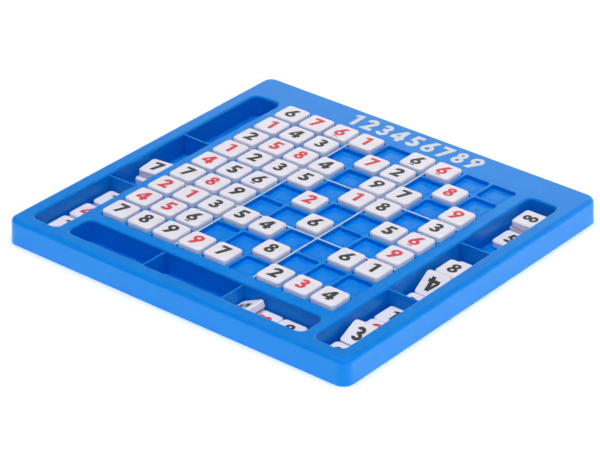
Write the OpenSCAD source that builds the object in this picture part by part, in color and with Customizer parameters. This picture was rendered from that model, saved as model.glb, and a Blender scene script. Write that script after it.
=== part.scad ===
// Number-puzzle board with a nine by nine grid of tile seats, storage troughs and lift-out number tiles.
// Millimetres, +Z up, origin at the centre of the base. +Y points to the plain strip, +X to its right.

/* [Tiles] */
// Width of a tile, across its flat sides
tile_w = 17.8; // [14:0.1:24]
// Thickness of a tile
tile_h = 5.2; // [4:0.1:7]
// Radius of a tile's upright corners
tile_corner_r = 2.6; // [1.4:0.1:5]
// Rounding of a tile's upper and lower edges
tile_edge_r = 0.8; // [0.3:0.1:1.2]

/* [Grid] */
// Play between a seated tile and the ribs on each side
tile_play = 0.35; // [0.2:0.05:1]
// Width of the ribs between the seats
rib_w = 2; // [1:0.1:5]
// Depth of the seats below the top face
seat_depth = 2.1; // [1:0.1:3.5]

/* [Board] */
// Height of the board
board_h = 17; // [14:0.5:24]
// Thickness of the walls and plates
wall_t = 2; // [1.2:0.1:3]
// How far each side leans out from the top face to the base
side_draft = 0.6; // [0.1:0.1:1.5]
// Radius of the board's upright corners
corner_r = 7; // [5:0.5:14]
// Rounding of the upper outer edge
top_edge_r = 3; // [1:0.5:4]
// Width of the plain strip beyond the grid
strip_w = 27.5; // [12:0.5:60]
// Width of the rim outside the troughs
rim_w = 10.6; // [8:0.2:20]

/* [Troughs] */
// Width of the strip between the grid and a trough
trough_gap = 7.6; // [5:0.2:16]
// Room across a side trough beyond a tile's width
side_room = 4.2; // [3:0.1:12]
// Room across the front trough beyond a tile's width
front_room = 2.6; // [2.2:0.1:12]
// Thickness of the trough floors
floor_t = 1.8; // [1:0.1:3]
// Radius of the troughs' upright corners
trough_corner_r = 5; // [3:0.5:6]
// Rounding of the troughs' upper edges
lip_r = 1.5; // [0.5:0.1:1.8]
// How far each trough wall leans in from the top to the floor
trough_draft = 0.3; // [0.1:0.1:0.6]
// Thickness of the dividers
divider_t = 1.2; // [0.8:0.1:2]
// How far the dividers stop below the top face
divider_drop = 1; // [0.2:0.1:4]

/* [Loose tiles] */
// Gap between a loose tile and its neighbours along a trough
loose_gap = 0.5; // [0.4:0.1:0.8]
// Air gap under a tile that lies on another
stack_gap = 0.1; // [0.05:0.05:0.5]
// How far a loose tile may lie off the middle of a side trough
loose_shift = 0.8; // [0:0.1:0.9]
// Air gap between a leaning tile and the edge that holds it up
lean_gap = 0.2; // [0.1:0.05:0.4]
// Least reach of a leaning tile over the tile that holds it up
lean_overlap = 2; // [1:0.1:4]

/* [Hidden] */
$fn = 48;
over = 1;
least_edge_r = 0.5;

// Digits on the seated tiles, row by row from the strip; 0 is an empty seat
LAYOUT = [
    [6, 7, 6, 1, 0, 6, 6, 0, 0],
    [1, 4, 3, 0, 7, 2, 0, 8, 0],
    [2, 5, 8, 4, 0, 9, 7, 0, 9],
    [1, 2, 3, 5, 0, 1, 8, 0, 3],
    [4, 5, 6, 0, 2, 0, 0, 5, 6],
    [7, 8, 9, 0, 0, 6, 0, 0, 9],
    [2, 1, 3, 5, 4, 0, 0, 6, 1],
    [4, 5, 6, 0, 0, 8, 0, 0, 0],
    [7, 8, 9, 9, 7, 0, 2, 3, 4]
];
cells = len(LAYOUT);
blocks = 3;

seat_w = tile_w + 2 * tile_play;
pitch = seat_w + rib_w;
grid_w = cells * pitch;
side_trough_w = tile_w + side_room;
front_trough_w = tile_w + front_room;
board_w = grid_w + 2 * (trough_gap + side_trough_w + rim_w);
board_d = grid_w + strip_w + trough_gap + front_trough_w + rim_w;
front_y = -board_d / 2;
grid_low_y = front_y + rim_w + front_trough_w + trough_gap;
grid_mid_y = grid_low_y + grid_w / 2;
grid_high_y = grid_low_y + grid_w;
seat_z = board_h - seat_depth;
divider_top = board_h - divider_drop;

// Side troughs run from the front trough's outer wall to the far end of the grid
trough_low_y = front_y + rim_w;
side_trough_l = grid_high_y - trough_low_y;
side_trough_x = grid_w / 2 + trough_gap + side_trough_w / 2;
side_trough_y = trough_low_y + side_trough_l / 2;
front_trough_y = trough_low_y + front_trough_w / 2;
side_bay = side_trough_l / blocks;
front_bay = grid_w / blocks;

// Places of a side trough's bays along Y, and of the front trough's bays along X
function side_bay_low(i) = trough_low_y + i * side_bay;
function front_bay_low(i) = -grid_w / 2 + i * front_bay;

// Middle of a seat; row 0 is next to the strip, column 0 is on the left
function seat_x(col) = (col - (cells - 1) / 2) * pitch;
function seat_y(row) = grid_mid_y - (row - (cells - 1) / 2) * pitch;

// A loose tile's step along a trough, and the lean of one that rests on a neighbour's upper edge:
// its foot stands as far off as the room in a full side bay allows, and its lower end leans back
row_tiles = 3;
loose_step = tile_w + loose_gap;
lean_rise = tile_h + lean_gap;
lean_back = tile_h / 2;
lean_room = side_bay - divider_t - row_tiles * tile_w - (row_tiles + 1) * loose_gap - lean_back;
lean_run = min(lean_room, sqrt(pow(tile_w - lean_overlap, 2) - pow(lean_rise, 2)));

// Middle of a loose tile a number of steps along a bay, counted from the bay's low end
first_spot = divider_t / 2 + loose_gap + tile_w / 2;
function side_spot(bay, steps) = side_bay_low(bay) + first_spot + steps * loose_step;

// Steps to a tile that holds up a leaning one, whose foot stands next to the tile at step 0
held_step = (tile_w + loose_gap + lean_back + lean_run) / loose_step;

// Flat loose tiles in the side troughs: bay, steps, layer, side of the middle, turn
LEFT_FLAT = [
    [0, 0.5, 0, -1, 0],
    [0, 1.6, 0, -1, 0],
    [0, 2.75, 0, 0, 0],
    [1, 1, 0, 0, 0],
    [1, 1.2, 1, 0, 6]
];
RIGHT_FLAT = [
    [0, 0, 0, 1, 0],
    [0, held_step, 0, 1, 0],
    [0, held_step + 1, 0, 1, 0],
    [1, 0, 0, 1, 0],
    [1, 1.6, 0, 1, 0],
    [1, 2.6, 0, 1, 0],
    [1, 2.1, 1, 1, 0],
    [2, 1.4, 0, 1, 0],
    [2, 2.5, 0, -1, 0],
    [2, 2.5, 1, 1, 90]
];
// Leaning ones on the right: bay, steps of the tile that holds them up, side of the middle, share of the full run
RIGHT_LEANING = [[0, held_step, 1, 1], [1, 1.6, 1, 0.7]];

SEATED = [for (r = [0 : cells - 1]) for (c = [0 : cells - 1]) if (LAYOUT[r][c] > 0) [r, c]];
function tile_name(s) = str("tile_r", s[0] + 1, "_c", s[1] + 1);

// A block with round upright corners: its half section, drawn from the corner axis outwards,
// runs along the four sides and turns round the four corners
module rounded_block(w, d, r, low, high) {
    x = w / 2 - r;
    y = d / 2 - r;
    translate([-x, -y, low])
        cube([2 * x, 2 * y, high - low]);
    for (side = [0, 1]) {
        rotate([0, 0, 180 * side]) {
            translate([x, y, 0])
                rotate([90, 0, 0])
                    linear_extrude(2 * y) children();
            translate([-x, y, 0])
                rotate([90, 0, 90])
                    linear_extrude(2 * x) children();
            translate([x, y, 0])
                rotate_extrude(angle = 90) children();
            translate([-x, y, 0])
                rotate([0, 0, 90])
                    rotate_extrude(angle = 90) children();
        }
    }
}

// Half section of a wall that leans out by draft towards the base, with its upper edge rounded
module drafted_section(reach, low, high, draft, edge_r) {
    lean = atan2(draft, high);
    mid = reach + draft * edge_r / high - edge_r / cos(lean);
    foot = reach + draft * (1 - low / high);
    polygon([
        [0, low],
        [foot, low],
        [mid + edge_r * cos(lean), high - edge_r + edge_r * sin(lean)],
        [mid, high],
        [0, high]
    ]);
    translate([mid, high - edge_r])
        circle(edge_r);
}

// Half section of a tile, with its upper and lower edges rounded
module tile_section() {
    square([tile_corner_r - tile_edge_r, tile_h]);
    translate([0, tile_edge_r])
        square([tile_corner_r, tile_h - 2 * tile_edge_r]);
    for (z = [tile_edge_r, tile_h - tile_edge_r]) {
        translate([tile_corner_r - tile_edge_r, z])
            circle(tile_edge_r);
    }
}

// Half section of a trough, with its upper edge rolled over into the top face
module trough_section() {
    polygon([
        [0, floor_t],
        [trough_corner_r - trough_draft, floor_t],
        [trough_corner_r, board_h - lip_r],
        [trough_corner_r, board_h + over],
        [0, board_h + over]
    ]);
    difference() {
        translate([trough_corner_r, board_h - lip_r])
            square([lip_r, lip_r + over]);
        translate([trough_corner_r + lip_r, board_h - lip_r])
            circle(lip_r);
    }
}

module trough(w, l) {
    rounded_block(w, l, trough_corner_r, floor_t, board_h + over)
        trough_section();
}

// Upright block with the outline of a trough and its walls
module trough_shell(w, l) {
    r = trough_corner_r + wall_t;
    rounded_block(w + 2 * wall_t, l + 2 * wall_t, r, -over, board_h)
        translate([0, -over])
            square([r, board_h + over]);
}

// Puts a trough's children where the left, right and front troughs are
module at_side_troughs() {
    for (side = [-1, 1]) {
        translate([side * side_trough_x, side_trough_y, 0]) children();
    }
}

module at_front_trough() {
    translate([0, front_trough_y, 0]) children();
}

module outer_body() {
    rounded_block(board_w, board_d, corner_r, 0, board_h)
        drafted_section(corner_r, 0, board_h, side_draft, top_edge_r);
}

// Hollow under the top plate, with the grid's plate and the trough walls left standing
module underside_hollow() {
    inner_r = corner_r - wall_t;
    inner_h = board_h - wall_t;
    inner_edge_r = max(top_edge_r - wall_t, least_edge_r);
    difference() {
        rounded_block(board_w - 2 * wall_t, board_d - 2 * wall_t, inner_r, -over, inner_h)
            drafted_section(inner_r, -over, inner_h, side_draft, inner_edge_r);
        translate([-grid_w / 2 - wall_t, grid_low_y - wall_t, seat_z - wall_t])
            cube([grid_w + 2 * wall_t, grid_w + 2 * wall_t, board_h]);
        at_side_troughs()
            trough_shell(side_trough_w, side_trough_l);
        at_front_trough()
            trough_shell(grid_w, front_trough_w);
    }
}

module seats() {
    for (r = [0 : cells - 1]) {
        for (c = [0 : cells - 1]) {
            translate([seat_x(c) - seat_w / 2, seat_y(r) - seat_w / 2, seat_z])
                cube([seat_w, seat_w, seat_depth + over]);
        }
    }
}

// Thin walls that split each trough into bays, let into the trough walls at both ends
module dividers() {
    h = divider_top - floor_t / 2;
    side_l = side_trough_w + wall_t;
    front_l = front_trough_w + wall_t;
    for (i = [1 : blocks - 1]) {
        for (side = [-1, 1]) {
            translate([side * side_trough_x - side_l / 2, side_bay_low(i) - divider_t / 2, floor_t / 2])
                cube([side_l, divider_t, h]);
        }
        translate([front_bay_low(i) - divider_t / 2, front_trough_y - front_l / 2, floor_t / 2])
            cube([divider_t, front_l, h]);
    }
}

module board() {
    color("dodgerblue") {
        difference() {
            outer_body();
            underside_hollow();
            seats();
            at_side_troughs()
                trough(side_trough_w, side_trough_l);
            at_front_trough()
                trough(grid_w, front_trough_w);
        }
        dividers();
    }
}

// One number tile, its underside centred on the origin
module tile() {
    rounded_block(tile_w, tile_w, tile_corner_r, 0, tile_h)
        tile_section();
}

module seated_tile(s) {
    color("white")
        translate([seat_x(s[1]), seat_y(s[0]), seat_z])
            tile();
}

// A tile lying flat on a trough floor, or some layers up, turned about its middle
module flat_tile(x, y, layer = 0, turn = 0) {
    translate([x, y, floor_t + layer * (tile_h + stack_gap)])
        rotate([0, 0, turn])
            tile();
}

// A tile that stands on its lower edge, a run off, and leans towards +Y on an edge through the origin
module leaning_tile(run = lean_run) {
    translate([0, -run, floor_t])
        rotate([atan2(lean_rise, run), 0, 0])
            translate([0, tile_w / 2, 0])
                tile();
}

// Flat loose tiles of one side trough
module flat_side_tiles(trough_x, flat) {
    for (f = flat) {
        flat_tile(trough_x + f[3] * loose_shift, side_spot(f[0], f[1]), f[2], f[4]);
    }
}

module loose_tiles_left() {
    color("white")
        flat_side_tiles(-side_trough_x, LEFT_FLAT);
}

module loose_tiles_right() {
    color("white") {
        flat_side_tiles(side_trough_x, RIGHT_FLAT);
        for (s = RIGHT_LEANING) {
            translate([side_trough_x + s[2] * loose_shift, side_spot(s[0], s[1]) - tile_w / 2, 0])
                leaning_tile(s[3] * lean_run);
        }
    }
}

// One tile leans on the first of two flat ones in the last bay
module loose_tiles_front() {
    edge_x = front_bay_low(blocks - 1) + divider_t / 2 + loose_gap + lean_back + lean_run;
    color("white") {
        translate([edge_x, front_trough_y, 0])
            rotate([0, 0, -90])
                leaning_tile();
        for (i = [0, 1]) {
            flat_tile(edge_x + tile_w / 2 + i * loose_step, front_trough_y);
        }
    }
}

board();
loose_tiles_left();
loose_tiles_front();
loose_tiles_right();
for (s = SEATED) {
    seated_tile(s);
}
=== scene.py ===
"""Looks of a number-puzzle board: a glossy moulded tray, number tiles, and printed digits and lines."""

import math

import bpy
from mathutils import Matrix, Vector
from mathutils.geometry import delaunay_2d_cdt


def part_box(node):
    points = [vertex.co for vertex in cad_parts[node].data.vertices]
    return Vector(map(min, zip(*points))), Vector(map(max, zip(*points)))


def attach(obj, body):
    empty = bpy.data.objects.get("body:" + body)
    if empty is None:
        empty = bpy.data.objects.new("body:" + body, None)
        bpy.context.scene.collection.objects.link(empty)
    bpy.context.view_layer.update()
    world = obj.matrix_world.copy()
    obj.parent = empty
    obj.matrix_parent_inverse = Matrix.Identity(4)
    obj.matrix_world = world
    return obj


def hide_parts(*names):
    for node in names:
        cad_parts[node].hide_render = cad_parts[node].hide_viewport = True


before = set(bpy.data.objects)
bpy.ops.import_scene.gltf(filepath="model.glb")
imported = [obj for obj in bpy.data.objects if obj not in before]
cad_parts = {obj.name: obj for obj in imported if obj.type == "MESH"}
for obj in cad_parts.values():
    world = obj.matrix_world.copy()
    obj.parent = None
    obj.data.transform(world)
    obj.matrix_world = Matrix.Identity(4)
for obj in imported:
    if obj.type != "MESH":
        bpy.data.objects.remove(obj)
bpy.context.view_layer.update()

# Sizes in millimetres. Those that the frame shows come from it, many others repeat the part's own
# values, and the small edges, slopes and prints are only looks
MM = 0.001


def box_mm(node):
    low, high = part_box(node)
    return low / MM, high / MM


def middle_mm(node):
    low, high = box_mm(node)
    return (low + high) / 2


board_low, board_high = box_mm("board")
tile_low, tile_high = box_mm("tile_r1_c1")

TILE_CORNER_R = 2.6
TILE_EDGE_R = 1.2
TILE_PLAY = 0.35
TILE_CROWN = 0.06
TILE_CROWN_W = 1.2
TILE_CROWN_TILT = 88
SIDE_DRAFT = 0.6
WALL_T = 2.0
CORNER_R = 7.0
TOP_EDGE_R = 3.0
BASE_EDGE_R = 0.4
TROUGH_GAP = 7.6
SIDE_ROOM = 4.2
FRONT_ROOM = 2.6
FLOOR_T = 1.8
TROUGH_CORNER_R = 5.0
LIP_R = 1.5
TROUGH_DRAFT = 0.3
TROUGH_FLOOR_R = 1.0
DIVIDER_T = 1.2
DIVIDER_DROP = 1.0
DIVIDER_EDGE_R = 0.35
DIVIDER_CORNER_R = DIVIDER_T / 2.2
CEILING_R = 1.0
ROOT_R = 0.5
FILLET_SAG = 0.3
SEAT_CORNER_R = 1.6
SEAT_EDGE_R = 0.3
SEAT_FLOOR_R = 0.35
PAD_MARGIN = 0.8
PAD_SLOPE_W = 4.2
PAD_H = 0.5
PAD_CORNER_R = 2.4
LOOSE_GAP = 0.5
LOOSE_SHIFT = 0.8
STACK_GAP = 0.1
LEAN_GAP = 0.2
PRINT_T = 0.05
LINE_W = 0.85
LINE_SHORT = 1.5
DIGIT_H = 10.3
DIGIT_WIDEN = 1.15
STRIP_DIGIT_H = 14.5
STRIP_STEP = 12.0
GATE_R = 1.1
GATE_H = 0.25
GATE_EDGE_R = 0.1

# Numbers of faces round corners, edges, circles and bent strokes and up the slope of a seat's floor
BOARD_TURN = 12
TROUGH_TURN = 8
SEAT_TURN = 3
DIVIDER_TURN = 4
TILE_TURN = 7
TOP_EDGE_STEPS = 8
LIP_STEPS = 6
TROUGH_FLOOR_STEPS = 4
TILE_EDGE_STEPS = 5
TILE_FOOT_STEPS = 4
SMALL_STEPS = 3
PAD_STEPS = 6
GATE_STEPS = 24
DISC_STEPS = 40
BOW_STEPS = 24

# Distances within which two points of a plate or of a print count as one
PLATE_MERGE = 1e-6
PRINT_MERGE = 1e-5

CELLS = 9
BLOCKS = 3
# Column and row of the seat with the gate mark, counted from 0
GATE_SEAT = (8, 1)

board_h = board_high.z
board_w = board_high.x - board_low.x - 2 * SIDE_DRAFT
board_d = board_high.y - board_low.y - 2 * SIDE_DRAFT
tile_w = tile_high.x - tile_low.x
tile_h = tile_high.z - tile_low.z
seat_z = tile_low.z
seat_w = tile_w + 2 * TILE_PLAY
pitch = middle_mm("tile_r1_c2").x - middle_mm("tile_r1_c1").x
grid_w = CELLS * pitch
grid_high_y = middle_mm("tile_r1_c1").y + pitch / 2
grid_low_y = grid_high_y - grid_w
grid_mid_y = (grid_low_y + grid_high_y) / 2
side_trough_w = tile_w + SIDE_ROOM
front_trough_w = tile_w + FRONT_ROOM
side_trough_x = grid_w / 2 + TROUGH_GAP + side_trough_w / 2
front_trough_y = grid_low_y - TROUGH_GAP - front_trough_w / 2
trough_low_y = front_trough_y - front_trough_w / 2
side_trough_l = grid_high_y - trough_low_y
side_trough_y = (grid_high_y + trough_low_y) / 2
side_bay = side_trough_l / BLOCKS
front_bay = grid_w / BLOCKS

# Digits on the seated tiles, row by row from the strip, with a dot for an empty seat, and which are red
LAYOUT = [
    "6761.66..", "143.72.8.", "2584.97.9",
    "1235.18.3", "456.2..56", "789..6..9",
    "21354..61", "456..8...", "78997.234",
]
RED = [
    "011100100", "100010010", "011000001",
    "100001000", "100010001", "010000001",
    "110000000", "110000000", "000100010",
]
# Row and column, counted from 1, of the digits with a short bar under them
UNDERLINED = {(1, 3), (1, 6), (1, 7), (5, 3), (5, 9), (8, 3)}


def seat_x(col):
    return (col - (CELLS - 1) / 2) * pitch


def seat_y(row):
    return grid_high_y - (row + 0.5) * pitch


# Mesh building

class Skin:
    """Points with their own normals, and the faces between them, in millimetres."""

    def __init__(self):
        self.places, self.normals, self.faces = [], [], []

    def add(self, place, normal):
        self.places.append(Vector(place))
        self.normals.append(Vector(normal))
        return len(self.places) - 1

    def ring(self, outline, out, z, tilt, facing=1):
        """An outline grown by out, at height z, with normals tilted up by tilt degrees."""
        flat, up = facing * math.cos(math.radians(tilt)), math.sin(math.radians(tilt))
        return [
            self.add((x + out * nx, y + out * ny, z), (flat * nx, flat * ny, up))
            for x, y, nx, ny in outline
        ]

    def loft(self, outline, profile, facing=1):
        """Faces down a profile of (out, z, tilt). Facing is 1 for an outside and -1 for a hole."""
        rings = [self.ring(outline, *point, facing) for point in profile]
        for upper, lower in zip(rings, rings[1:]):
            self.band(upper, lower, facing)
        return rings[0], rings[-1]

    def band(self, upper, lower, facing=1):
        """Faces between two rings of the same number of points."""
        for i, _ in enumerate(upper):
            j = (i + 1) % len(upper)
            face = [upper[i], lower[i], lower[j], upper[j]]
            self.faces.append(face if facing > 0 else face[::-1])

    def cap(self, ring, up=True):
        self.faces.append(ring if up else ring[::-1])

    def plate(self, outer, holes, up=True):
        """Flat face between an outer ring and the rings of its holes, which are all convex."""
        index = [i for ring in [outer, *holes] for i in ring]
        owner = [k for k, ring in enumerate([outer, *holes]) for _ in ring]
        edges, start = [], 0
        for ring in [outer, *holes]:
            n = len(ring)
            edges += [(start + i, start + (i + 1) % n) for i in range(n)]
            start += n
        flat = [self.places[i].to_2d() for i in index]
        _, _, triangles, sources, _, _ = delaunay_2d_cdt(flat, edges, [], 0, PLATE_MERGE)
        for triangle in triangles:
            corners = [sources[v][0] for v in triangle]
            owners = {owner[c] for c in corners}
            if len(owners) > 1 or owners == {0}:
                face = [index[c] for c in corners]
                self.faces.append(face if up else face[::-1])

    def copy_in(self, other, matrix):
        start = len(self.places)
        turn = matrix.to_3x3()
        for place, normal in zip(other.places, other.normals):
            self.add(matrix @ place, turn @ normal)
        self.faces += [[start + i for i in face] for face in other.faces]

    def mesh(self, name, material):
        mesh = bpy.data.meshes.new(name)
        mesh.from_pydata([p * MM for p in self.places], [], self.faces)
        mesh.shade_smooth()
        mesh.normals_split_custom_set_from_vertices([n.normalized() for n in self.normals])
        mesh.materials.append(material)
        return mesh


def outline(w, d, r, turn, at=(0, 0)):
    """Points (x, y, normal x, normal y) round a rectangle with round corners."""
    points = []
    for quarter, (sx, sy) in enumerate(((1, 1), (-1, 1), (-1, -1), (1, -1))):
        for k in range(turn + 1):
            a = math.radians(90 * (quarter + k / turn))
            x, y = at[0] + sx * (w / 2 - r), at[1] + sy * (d / 2 - r)
            points.append((x + r * math.cos(a), y + r * math.sin(a), math.cos(a), math.sin(a)))
    return points


def circle(r, steps, at):
    """Points (x, y, normal x, normal y) round a circle."""
    points = []
    for k in range(steps):
        a = 2 * math.pi * k / steps
        points.append((at[0] + r * math.cos(a), at[1] + r * math.sin(a), math.cos(a), math.sin(a)))
    return points


def edge_arc(out, z, r, steps, facing=1, start=90, stop=0):
    """Profile round a convex edge whose centre is at (out, z)."""
    arc = []
    for k in range(steps + 1):
        tilt = start + (stop - start) * k / steps
        a = math.radians(tilt)
        arc.append((out + facing * r * math.cos(a), z + r * math.sin(a), tilt))
    return arc


def floor_arc(out, z, r, steps):
    """Profile of the hollow fillet from a hole's wall, at out, down to its floor at z."""
    arc = []
    for k in range(steps + 1):
        tilt = 90 * k / steps
        a = math.radians(tilt)
        arc.append((out - r * (1 - math.cos(a)), z + r * (1 - math.sin(a)), tilt))
    return arc


def ceiling_fillet(z, r, facing=1):
    """Profile of the hollow fillet from a ceiling at z down to a wall."""
    sag = FILLET_SAG * r
    return [(facing * r, z, -90), (facing * sag, z - sag, -45), (0, z - r, 0)]


def show(name, mesh, body, replaces=(), at=(0, 0, 0)):
    """Puts a mesh in the scene as a piece that rides on a body."""
    obj = bpy.data.objects.new(name, mesh)
    bpy.context.scene.collection.objects.link(obj)
    obj.location = Vector(at) * MM
    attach(obj, body)
    if replaces:
        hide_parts(*replaces)


# Materials. Scales of noise are in turns per metre and depths of grain in metres

CLOUD_SCALE, CLOUD_DETAIL, CLOUD_BAND = 45.0, 4.0, (0.3, 0.7)
HANDLING_SCALE, HANDLING_DETAIL, HANDLING_STRETCH = 26.0, 1.0, (1, 1.6, 1)
GRAIN_STRENGTH, GRAIN_DEPTH = 0.06, 0.00005
INK_SCALE, INK_DETAIL, INK_BAND = 900.0, 4.0, (0.35, 0.65)
INK_GLOSS_SCALE, INK_GLOSS = 1500.0, (0.4, 0.6)
INK_GRAIN_SCALE, INK_GRAIN_DETAIL = 2600.0, 3.0
INK_GRAIN_STRENGTH, INK_GRAIN_DEPTH = 0.1, 0.00004


def node_material(name):
    material = bpy.data.materials.new(name)
    material.use_nodes = True
    tree = material.node_tree
    return material, tree, tree.nodes["Principled BSDF"]


def noise(tree, scale, detail=2.0, stretch=(1, 1, 1)):
    """Noise in the object's own coordinates."""
    where = tree.nodes.new("ShaderNodeTexCoord")
    mapping = tree.nodes.new("ShaderNodeMapping")
    mapping.inputs["Scale"].default_value = stretch
    texture = tree.nodes.new("ShaderNodeTexNoise")
    texture.inputs["Scale"].default_value = scale
    texture.inputs["Detail"].default_value = detail
    tree.links.new(where.outputs["Object"], mapping.inputs["Vector"])
    tree.links.new(mapping.outputs["Vector"], texture.inputs["Vector"])
    return texture.outputs["Fac"]


def ramp(tree, value, stops):
    """Colour of a value by stops of (place, colour)."""
    node = tree.nodes.new("ShaderNodeValToRGB")
    while len(node.color_ramp.elements) < len(stops):
        node.color_ramp.elements.new(0.5)
    for element, (place, colour) in zip(node.color_ramp.elements, stops):
        element.position = place
        element.color = (*colour, 1)
    tree.links.new(value, node.inputs["Fac"])
    return node.outputs["Color"]


def spread(tree, value, low, high, start=0.3, stop=0.7):
    """Maps a value's range from start to stop onto the range from low to high."""
    node = tree.nodes.new("ShaderNodeMapRange")
    numbers = {"From Min": start, "From Max": stop, "To Min": low, "To Max": high}
    for socket, number in numbers.items():
        node.inputs[socket].default_value = number
    tree.links.new(value, node.inputs["Value"])
    return node.outputs["Result"]


def bump(tree, shader, height, strength, distance):
    node = tree.nodes.new("ShaderNodeBump")
    node.inputs["Strength"].default_value = strength
    node.inputs["Distance"].default_value = distance
    tree.links.new(height, node.inputs["Height"])
    tree.links.new(node.outputs["Normal"], shader.inputs["Normal"])


def moulded_plastic(name, colours, gloss, grain, ior=1.5):
    """Moulded plastic: faint clouds in the colour, handled patches of softer gloss, and a grain."""
    material, tree, shader = node_material(name)
    clouds = ramp(tree, noise(tree, CLOUD_SCALE, CLOUD_DETAIL), list(zip(CLOUD_BAND, colours)))
    tree.links.new(clouds, shader.inputs["Base Color"])
    handling = noise(tree, HANDLING_SCALE, HANDLING_DETAIL, HANDLING_STRETCH)
    tree.links.new(spread(tree, handling, *gloss), shader.inputs["Roughness"])
    bump(tree, shader, noise(tree, grain), GRAIN_STRENGTH, GRAIN_DEPTH)
    shader.inputs["IOR"].default_value = ior
    return material


def let_light_in(material, weight, radius, scale):
    """Lets light scatter under a plastic's surface."""
    shader = material.node_tree.nodes["Principled BSDF"]
    shader.inputs["Subsurface Weight"].default_value = weight
    shader.inputs["Subsurface Radius"].default_value = radius
    shader.inputs["Subsurface Scale"].default_value = scale


def ink(name, colours):
    """Printed ink: a little uneven, with a dry, slightly rough film."""
    material, tree, shader = node_material(name)
    film = ramp(tree, noise(tree, INK_SCALE, INK_DETAIL), list(zip(INK_BAND, colours)))
    tree.links.new(film, shader.inputs["Base Color"])
    tree.links.new(spread(tree, noise(tree, INK_GLOSS_SCALE), *INK_GLOSS), shader.inputs["Roughness"])
    grain = noise(tree, INK_GRAIN_SCALE, INK_GRAIN_DETAIL)
    bump(tree, shader, grain, INK_GRAIN_STRENGTH, INK_GRAIN_DEPTH)
    return material


BOARD_COLOURS = ((0.0022, 0.24, 0.73), (0.003, 0.254, 0.76))
TILE_COLOURS = ((0.83, 0.805, 0.89), (0.87, 0.845, 0.93))
BOARD_TINT = (0.2, 0.75, 1, 1)

BOARD_PLASTIC = moulded_plastic(
    "board_plastic", BOARD_COLOURS, gloss=(0.29, 0.35), grain=2600.0, ior=1.4)
TILE_PLASTIC = moulded_plastic("tile_plastic", TILE_COLOURS, gloss=(0.3, 0.42), grain=3200.0)
let_light_in(BOARD_PLASTIC, weight=1.0, radius=(0.05, 0.4, 1), scale=0.0025)
let_light_in(TILE_PLASTIC, weight=0.4, radius=(1, 1, 1.1), scale=0.002)
BOARD_PLASTIC.node_tree.nodes["Principled BSDF"].inputs["Specular Tint"].default_value = BOARD_TINT
INKS = {
    "black": ink("black_ink", ((0.018, 0.018, 0.02), (0.03, 0.03, 0.034))),
    "red": ink("red_ink", ((0.68, 0.03, 0.055), (0.76, 0.05, 0.08))),
}
WHITE_PRINT = ink("white_print", ((0.62, 0.68, 0.74), (0.72, 0.77, 0.82)))


# Board

def trough_outlines(grow=0.0):
    """Outlines of the left, right and front troughs, or of their shells if they grow by the wall."""
    def one(w, d, at):
        return outline(w + 2 * grow, d + 2 * grow, TROUGH_CORNER_R + grow, TROUGH_TURN, at)

    sides = [one(side_trough_w, side_trough_l, (s * side_trough_x, side_trough_y)) for s in (-1, 1)]
    return [*sides, one(grid_w, front_trough_w, (0, front_trough_y))]


def seat_pad(skin, ring, at):
    """Seat floor inside a ring: a gentle slope from the walls up to a flat middle under the tile."""
    for k in range(PAD_STEPS + 1):
        share = k / PAD_STEPS
        w = seat_w - 2 * (PAD_MARGIN + share * PAD_SLOPE_W)
        z = seat_z - PAD_H * (1 + math.cos(math.pi * share)) / 2
        slope = PAD_H / PAD_SLOPE_W * math.pi / 2 * math.sin(math.pi * share)
        r = SEAT_CORNER_R + share * (PAD_CORNER_R - SEAT_CORNER_R)
        tilt = 90 + math.degrees(math.atan(slope))
        inner = skin.ring(outline(w, w, r, SEAT_TURN, at), 0, z, tilt, -1)
        skin.band(ring, inner, -1)
        ring = inner
    skin.cap(ring)


def foot_arc(out, z):
    """Profile round the lower edge of a wall that ends at z, down to its underside."""
    return edge_arc(out - BASE_EDGE_R, z + BASE_EDGE_R, BASE_EDGE_R, SMALL_STEPS, 1, 0, -90)


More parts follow.
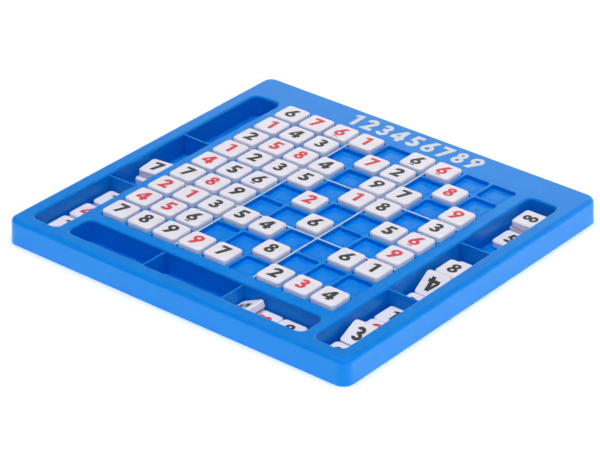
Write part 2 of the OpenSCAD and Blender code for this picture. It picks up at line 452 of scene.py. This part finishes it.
def board_skin():
    """The moulding without its dividers."""
    skin = Skin()
    trough = edge_arc(LIP_R, board_h - LIP_R, LIP_R, LIP_STEPS, -1)
    trough += floor_arc(-TROUGH_DRAFT, FLOOR_T, TROUGH_FLOOR_R, TROUGH_FLOOR_STEPS)
    seat = edge_arc(SEAT_EDGE_R, board_h - SEAT_EDGE_R, SEAT_EDGE_R, SMALL_STEPS, -1)
    seat += floor_arc(0, seat_z - PAD_H, SEAT_FLOOR_R, SMALL_STEPS)
    holes = []
    for shape in trough_outlines():
        top, floor = skin.loft(shape, trough, -1)
        skin.cap(floor)
        holes.append(top)
    for at in [(seat_x(c), seat_y(r)) for r in range(CELLS) for c in range(CELLS)]:
        top, floor = skin.loft(outline(seat_w, seat_w, SEAT_CORNER_R, SEAT_TURN, at), seat, -1)
        seat_pad(skin, floor, at)
        holes.append(top)

    outer = outline(board_w, board_d, CORNER_R, BOARD_TURN)
    side = edge_arc(-TOP_EDGE_R, board_h - TOP_EDGE_R, TOP_EDGE_R, TOP_EDGE_STEPS)
    top, outer_foot = skin.loft(outer, side + foot_arc(SIDE_DRAFT, 0.0))
    skin.plate(top, holes)

    # The underside: a rim to rest on, a ceiling, and the plate and trough shells that hang from it
    ceiling = board_h - WALL_T
    inner = outline(board_w - 2 * WALL_T, board_d - 2 * WALL_T, CORNER_R - WALL_T, BOARD_TURN)
    wall = ceiling_fillet(ceiling, CEILING_R, -1)
    wall += [(SIDE_DRAFT, BASE_EDGE_R, 0), (SIDE_DRAFT + BASE_EDGE_R, 0, -90)]
    wall_top, wall_foot = skin.loft(inner, wall, -1)
    skin.band(outer_foot, wall_foot)
    plate_w = grid_w + 2 * WALL_T
    plate = outline(plate_w, plate_w, SEAT_CORNER_R, SEAT_TURN, (0, grid_mid_y))
    drops = [(shell, 0.0) for shell in trough_outlines(WALL_T)] + [(plate, seat_z - WALL_T)]
    roots = []
    for shape, bottom in drops:
        root, foot = skin.loft(shape, ceiling_fillet(ceiling, ROOT_R) + foot_arc(0, bottom))
        skin.cap(foot, False)
        roots.append(root)
    skin.plate(wall_top, roots, False)
    return skin


def divider_skin():
    """The dividers of all three troughs, sunk into the walls and the floor."""
    skin = Skin()
    top, r = board_h - DIVIDER_DROP, DIVIDER_EDGE_R
    profile = edge_arc(-r, top - r, r, SMALL_STEPS) + [(0, FLOOR_T / 2, 0)]
    for i in range(1, BLOCKS):
        y, x = trough_low_y + i * side_bay, -grid_w / 2 + i * front_bay
        spans = [(side_trough_w + WALL_T, DIVIDER_T, (s * side_trough_x, y)) for s in (-1, 1)]
        spans.append((DIVIDER_T, front_trough_w + WALL_T, (x, front_trough_y)))
        for w, d, at in spans:
            upper, lower = skin.loft(outline(w, d, DIVIDER_CORNER_R, DIVIDER_TURN, at), profile)
            skin.cap(upper)
            skin.cap(lower, False)
    return skin


# Tiles

def tile_skin():
    """One tile with its underside centred on the origin and a faint crown on its face."""
    skin = Skin()
    r, rim = TILE_EDGE_R, tile_h - TILE_CROWN
    profile = [(-r - TILE_CROWN_W, tile_h, 90)]
    profile += edge_arc(-r, rim - r, r, TILE_EDGE_STEPS, 1, TILE_CROWN_TILT, 0)
    profile += edge_arc(-r, r, r, TILE_FOOT_STEPS, 1, 0, -90)
    top, bottom = skin.loft(outline(tile_w, tile_w, TILE_CORNER_R, TILE_TURN), profile)
    skin.cap(top)
    skin.cap(bottom, False)
    return skin


# Digits, drawn one unit high from shapes that add and shapes that cut

def disc(x, y, r):
    return [point[:2] for point in circle(r, DISC_STEPS, (x, y))]


def bow(x, y, r, thick, start, stop):
    """Bent stroke about (x, y), from start to stop degrees anticlockwise."""
    turns = [math.radians(start + (stop - start) * k / BOW_STEPS) for k in range(BOW_STEPS + 1)]
    outer, inner = r + thick / 2, r - thick / 2
    outside = [(x + outer * math.cos(a), y + outer * math.sin(a)) for a in turns]
    inside = [(x + inner * math.cos(a), y + inner * math.sin(a)) for a in turns]
    return outside + inside[::-1]


def block(x0, y0, x1, y1):
    return [(x0, y0), (x1, y0), (x1, y1), (x0, y1)]


def turned(shapes, x, y):
    """Shapes turned half round about (x, y)."""
    return [[(2 * x - px, 2 * y - py) for px, py in shape] for shape in shapes]


SIX = ([disc(0.31, 0.31, 0.31), [(0.035, 0.45), (0.3, 0.42), (0.62, 1.0), (0.345, 1.0)]],
       [disc(0.31, 0.31, 0.115)])
GLYPHS = {
    1: ([[(0.2, 0), (0.42, 0), (0.42, 1), (0.24, 1), (0, 0.9), (0, 0.74), (0.2, 0.8)]], []),
    2: ([bow(0.3, 0.7, 0.185, 0.23, -38, 180),
         [(0.12, 0.18), (0.3, 0.08), (0.545, 0.53), (0.345, 0.655)],
         [(0, 0), (0.62, 0), (0.62, 0.215), (0.1, 0.215), (0, 0.02)]], []),
    3: ([bow(0.28, 0.735, 0.16, 0.21, -100, 165), bow(0.28, 0.29, 0.185, 0.21, -165, 100),
         block(0.15, 0.43, 0.3, 0.62)], []),
    4: ([[(0.35, 0), (0.59, 0), (0.59, 0.18), (0.69, 0.18), (0.69, 0.39), (0.59, 0.39),
          (0.59, 1), (0.37, 1), (0, 0.38), (0, 0.18), (0.35, 0.18)]],
        [[(0.19, 0.39), (0.35, 0.39), (0.35, 0.65)]]),
    5: ([bow(0.27, 0.315, 0.195, 0.24, -160, 118), block(0.12, 0.79, 0.57, 1),
         [(0.04, 0.46), (0.22, 0.55), (0.33, 0.83), (0.33, 1), (0.12, 1)]], []),
    6: SIX,
    7: ([[(0.08, 0), (0.31, 0), (0.6, 0.86), (0.6, 1), (0, 1), (0, 0.785), (0.335, 0.785)]], []),
    8: ([disc(0.285, 0.745, 0.255), disc(0.285, 0.285, 0.285)],
        [disc(0.285, 0.745, 0.075), disc(0.285, 0.285, 0.095)]),
    9: (turned(SIX[0], 0.31, 0.5), turned(SIX[1], 0.31, 0.5)),
}
UNDERLINE = block(0.16, -0.17, 0.48, -0.08)


def glyph(number, underlined=False, widen=DIGIT_WIDEN):
    """The digit's shapes, widened and moved so that its box is centred on the origin."""
    adds, cuts = GLYPHS[number]
    places = [p for shape in adds for p in shape]
    x = (min(p[0] for p in places) + max(p[0] for p in places)) / 2
    adds = adds + [UNDERLINE] if underlined else adds

    def centred(shape):
        return [((px - x) * widen, py - 0.5) for px, py in shape]

    return [[centred(shape) for shape in part] for part in (adds, cuts)]


def print_in(mesh_parts, shapes, size, matrix):
    """Adds a thin closed print to (places, faces), half sunk into the matrix's face at z = 0."""
    places, faces = mesh_parts
    adds, cuts = shapes
    points, loops = [], []
    for shape in adds + cuts:
        loops.append(list(range(len(points), len(points) + len(shape))))
        points += [Vector(p) * size for p in shape]
    flat, _, triangles, _, _, owners = delaunay_2d_cdt(points, [], loops, 1, PRINT_MERGE)
    kept = [t for t, own in zip(triangles, owners) if min(own) < len(adds) and max(own) < len(adds)]
    start, n = len(places), len(flat)
    for z in (PRINT_T, -PRINT_T):
        places += [matrix @ Vector((p.x, p.y, z)) for p in flat]
    sides = {(t[i], t[(i + 1) % 3]) for t in kept for i in range(3)}
    for t in kept:
        faces.append([start + v for v in t])
        faces.append([start + n + v for v in reversed(t)])
    for a, b in sides:
        if (b, a) not in sides:
            faces.append([start + v for v in (a, n + a, n + b, b)])


def print_mesh(name, parts, material):
    """A mesh of the faces of a print and of the places that they use."""
    places, faces = parts
    mesh = bpy.data.meshes.new(name)
    used = sorted({v for face in faces for v in face})
    order = {v: i for i, v in enumerate(used)}
    mesh.from_pydata([places[v] * MM for v in used], [], [[order[v] for v in face] for face in faces])
    mesh.materials.append(material)
    return mesh


# The seated tiles and their digits

def show_seated_tiles():
    shape = tile_skin().mesh("number_tile", TILE_PLASTIC)
    face = Matrix.Translation((0, 0, tile_h))
    for r, row in enumerate(LAYOUT):
        for c, digit in enumerate(row):
            if digit == ".":
                continue
            node = f"tile_r{r + 1}_c{c + 1}"
            at = (seat_x(c), seat_y(r), seat_z)
            show(f"number_{node}", shape, node, [node], at)
            colour = "red" if RED[r][c] == "1" else "black"
            parts = ([], [])
            print_in(parts, glyph(int(digit), (r + 1, c + 1) in UNDERLINED), DIGIT_H, face)
            name = node.replace("tile", "digit")
            show(name, print_mesh(name, parts, INKS[colour]), node, at=at)


# Loose tiles in the troughs

ROW_TILES = 3
loose_step = tile_w + LOOSE_GAP
lean_rise = tile_h + LEAN_GAP
lean_back = tile_h / 2
lean_run = side_bay - DIVIDER_T - ROW_TILES * tile_w - (ROW_TILES + 1) * LOOSE_GAP - lean_back
first_spot = DIVIDER_T / 2 + LOOSE_GAP + tile_w / 2
held_step = (tile_w + LOOSE_GAP + lean_back + lean_run) / loose_step

# Flat ones: bay, steps, layer, side of the middle, turn, digit, colour, turn of the digit
LEFT_FLAT = [
    (0, 0.5, 0, -1, 0, 1, "black", 0),
    (0, 1.6, 0, -1, 0, 4, "red", 0),
    (0, 2.75, 0, 0, 0, 1, "black", 0),
    (1, 1, 0, 0, 0, 3, "black", 90),
    (1, 1.2, 1, 0, 6, 7, "black", 0),
]
RIGHT_FLAT = [
    (0, 0, 0, 1, 0, 9, "black", 90),
    (0, held_step, 0, 1, 0, 2, "red", 0),
    (0, held_step + 1, 0, 1, 0, 1, "black", 0),
    (1, 0, 0, 1, 0, 7, "black", 90),
    (1, 1.6, 0, 1, 0, 3, "black", 180),
    (1, 2.6, 0, 1, 0, 7, "red", 90),
    (1, 2.1, 1, 1, 0, 8, "black", 0),
    (2, 1.4, 0, 1, 0, 5, "black", 0),
    (2, 2.5, 0, -1, 0, 2, "black", 0),
    (2, 2.5, 1, 1, 90, 8, "black", 0),
]
# Leaning ones: bay, steps of the tile that holds them up, side of the middle, share of the full run,
# digit, colour, turn of the digit
RIGHT_LEANING = [(0, held_step, 1, 1, 3, "black", 0), (1, 1.6, 1, 0.7, 4, "black", 180)]
# The front trough's last bay: digit, colour and turn of the leaning tile and of the two flat ones
FRONT_DIGITS = [(5, "black", 0), (3, "red", 90), (8, "black", 0)]


def turn(degrees):
    return Matrix.Rotation(math.radians(degrees), 4, "Z")


def flat_place(x, y, layer=0, degrees=0):
    return Matrix.Translation((x, y, FLOOR_T + layer * (tile_h + STACK_GAP))) @ turn(degrees)


def leaning_place(x, y, degrees=0, run=lean_run):
    """A tile that leans on the edge at (x, y), towards +Y before the turn, with its foot a run off."""
    foot = Matrix.Translation((x, y, 0)) @ turn(degrees) @ Matrix.Translation((0, -run, FLOOR_T))
    lean = Matrix.Rotation(math.atan2(lean_rise, run), 4, "X")
    return foot @ lean @ Matrix.Translation((0, tile_w / 2, 0))


def side_places(trough_x, flat, leaning=()):
    """Places, digits, colours and digit turns of one side trough's tiles."""
    def along(bay, steps):
        return trough_low_y + bay * side_bay + first_spot + steps * loose_step

    found = []
    for bay, steps, layer, side, degrees, *label in flat:
        x = trough_x + side * LOOSE_SHIFT
        found.append((flat_place(x, along(bay, steps), layer, degrees), *label))
    for bay, steps, side, share, *label in leaning:
        x, y = trough_x + side * LOOSE_SHIFT, along(bay, steps) - tile_w / 2
        found.append((leaning_place(x, y, run=share * lean_run), *label))
    return found


def front_places():
    """The same of the front trough's tiles."""
    edge_x = grid_w / 2 - front_bay + DIVIDER_T / 2 + LOOSE_GAP + lean_back + lean_run
    places = [leaning_place(edge_x, front_trough_y, -90)]
    places += [flat_place(edge_x + tile_w / 2 + i * loose_step, front_trough_y) for i in (0, 1)]
    return [(place, *label) for place, label in zip(places, FRONT_DIGITS)]


def show_loose_tiles(node, tiles):
    """One trough's tiles as one piece, and their digits as one piece for each colour."""
    shape, skin = tile_skin(), Skin()
    prints = {colour: ([], []) for colour in INKS}
    for place, digit, colour, degrees in tiles:
        skin.copy_in(shape, place)
        face = place @ Matrix.Translation((0, 0, tile_h)) @ turn(degrees)
        print_in(prints[colour], glyph(digit), DIGIT_H, face)
    name = node.replace("loose", "loose_number")
    show(name, skin.mesh(name, TILE_PLASTIC), node, [node])
    for colour, parts in prints.items():
        if parts[1]:
            name = f"{node.replace('tiles', 'digits')}_{colour}"
            show(name, print_mesh(name, parts, INKS[colour]), node)


# Prints on the board

def show_board_prints():
    top = Matrix.Translation((0, 0, board_h))
    lines = ([], [])
    half, w, y0 = grid_w / 2 - LINE_SHORT, LINE_W / 2, grid_mid_y
    places = [(i / BLOCKS - 0.5) * grid_w for i in range(1, BLOCKS)]
    for y in places:
        print_in(lines, ([block(-half, y0 + y - w, half, y0 + y + w)], []), 1, top)
    # The lines along Y stop at those along X, so that no two prints overlap
    stretches = list(zip([-half] + [p + w for p in places], [p - w for p in places] + [half]))
    for x in places:
        for start, stop in stretches:
            print_in(lines, ([block(x - w, y0 + start, x + w, y0 + stop)], []), 1, top)
    show("grid_lines", print_mesh("grid_lines", lines, WHITE_PRINT), "board")

    numbers = ([], [])
    strip_y = (grid_high_y + board_d / 2) / 2
    for i in range(CELLS):
        place = Matrix.Translation(((i - (CELLS - 1) / 2) * STRIP_STEP, strip_y, board_h))
        print_in(numbers, glyph(i + 1, widen=1), STRIP_DIGIT_H, place)
    show("strip_numbers", print_mesh("strip_numbers", numbers, WHITE_PRINT), "board")


def show_gate_mark():
    """The stub that the mould's gate left in one seat."""
    skin = Skin()
    col, row = GATE_SEAT
    shape = circle(GATE_R, GATE_STEPS, (seat_x(col), seat_y(row)))
    profile = edge_arc(-GATE_EDGE_R, seat_z + GATE_H - GATE_EDGE_R, GATE_EDGE_R, SMALL_STEPS)
    upper, lower = skin.loft(shape, profile + [(0, seat_z - GATE_H, 0)])
    skin.cap(upper)
    skin.cap(lower, False)
    show("gate_mark", skin.mesh("gate_mark", BOARD_PLASTIC), "board")


shell = board_skin().mesh("board_shell", BOARD_PLASTIC)
show("board_shell", shell, "board", ["board"])
dividers = divider_skin().mesh("board_dividers", BOARD_PLASTIC)
show("board_dividers", dividers, "board")
show_gate_mark()
show_board_prints()
show_seated_tiles()
show_loose_tiles("loose_tiles_left", side_places(-side_trough_x, LEFT_FLAT))
show_loose_tiles("loose_tiles_right", side_places(side_trough_x, RIGHT_FLAT, RIGHT_LEANING))
show_loose_tiles("loose_tiles_front", front_places())


# Stage: a pale floor, soft light and the camera

FLOOR_SIZE = 8.0
FLOOR_COLOUR = (0.93, 0.94, 0.94)
FLOOR_ROUGHNESS = 0.9
# Strength of the floor's own light, on the object and as the camera sees it
FLOOR_GLOW = 0.72
FLOOR_WHITEN = 0.17
# Brightness of the dome by the height of a direction, from 0 at the horizon to 1 overhead
SKY = [(0.0, 1.0), (0.05, 1.0), (0.08, 0.08), (0.86, 0.08), (0.9, 3.5), (1.0, 3.5)]
# Lamps: name, place, aim, width and height in metres, power in watts, whether it lights, whether it
# shows in reflections
LAMPS = [
    ("front_soft", (1.05, -1.28, 1.15), (0, 0, 0), (1.5, 1.5), 6.5, True, False),
    ("right_soft", (1.5, 0.25, 0.34), (0, 0, 0), (1.0, 0.6), 2.0, True, True),
    ("back_card", (-0.3, 0.45, 0.13), (-0.3, 0, 0.13), (1.4, 0.28), 1.9, False, True),
]
CAMERA_AT = Vector((0.98142, -1.19613, 0.87569))
CAMERA_AZIMUTH, CAMERA_ELEVATION, CAMERA_ROLL = 39.4676, 29.3917, 0.106
IMAGE_W, FOCAL_PX, SENSOR_W = 600, 2879.9, 36.0
CLIP_END = 50


def make_floor():
    mesh = bpy.data.meshes.new("floor")
    s = FLOOR_SIZE / 2
    mesh.from_pydata([(-s, -s, 0), (s, -s, 0), (s, s, 0), (-s, s, 0)], [], [(0, 1, 2, 3)])
    floor = bpy.data.objects.new("floor", mesh)
    bpy.context.scene.collection.objects.link(floor)
    material, tree, shader = node_material("floor")
    shader.inputs["Base Color"].default_value = (*FLOOR_COLOUR, 1)
    shader.inputs["Roughness"].default_value = FLOOR_ROUGHNESS
    shader.inputs["Specular IOR Level"].default_value = 0.0
    # A light table: the floor lights the object's sides, and the camera sees it as plain white
    path = tree.nodes.new("ShaderNodeLightPath")
    glow = spread(tree, path.outputs["Is Camera Ray"], FLOOR_GLOW, FLOOR_WHITEN, 0, 1)
    tree.links.new(glow, shader.inputs["Emission Strength"])
    shader.inputs["Emission Color"].default_value = (1, 1, 1, 1)
    mesh.materials.append(material)


def make_lamp(name, at, aim, size, power, lights, shines):
    data = bpy.data.lights.new(name, "AREA")
    data.shape, data.size, data.size_y = "RECTANGLE", *size
    data.energy = power
    lamp = bpy.data.objects.new(name, data)
    lamp.location = at
    lamp.rotation_euler = (Vector(aim) - Vector(at)).to_track_quat("-Z", "Y").to_euler()
    lamp.visible_camera = False
    lamp.visible_diffuse = lights
    lamp.visible_glossy = shines
    bpy.context.scene.collection.objects.link(lamp)


def make_world():
    """A soft white dome: a wide light overhead, a white band above the floor and a dim ring between."""
    world = bpy.data.worlds.new("studio")
    world.use_nodes = True
    bpy.context.scene.world = world
    tree = world.node_tree
    where = tree.nodes.new("ShaderNodeTexCoord")
    split = tree.nodes.new("ShaderNodeSeparateXYZ")
    tree.links.new(where.outputs["Generated"], split.inputs["Vector"])
    sky = ramp(tree, split.outputs["Z"], [(height, (level,) * 3) for height, level in SKY])
    tree.links.new(sky, tree.nodes["Background"].inputs["Color"])


def make_camera():
    data = bpy.data.cameras.new("camera")
    data.sensor_width, data.lens = SENSOR_W, FOCAL_PX * SENSOR_W / IMAGE_W
    data.clip_end = CLIP_END
    camera = bpy.data.objects.new("camera", data)
    rise = Matrix.Rotation(math.radians(90 - CAMERA_ELEVATION), 4, "X")
    spin = turn(CAMERA_AZIMUTH) @ rise @ turn(-CAMERA_ROLL)
    camera.matrix_world = Matrix.Translation(CAMERA_AT) @ spin
    bpy.context.scene.collection.objects.link(camera)
    bpy.context.scene.camera = camera


make_floor()
for lamp in LAMPS:
    make_lamp(*lamp)
make_world()
make_camera()
bpy.context.scene.view_settings.view_transform = "Standard"
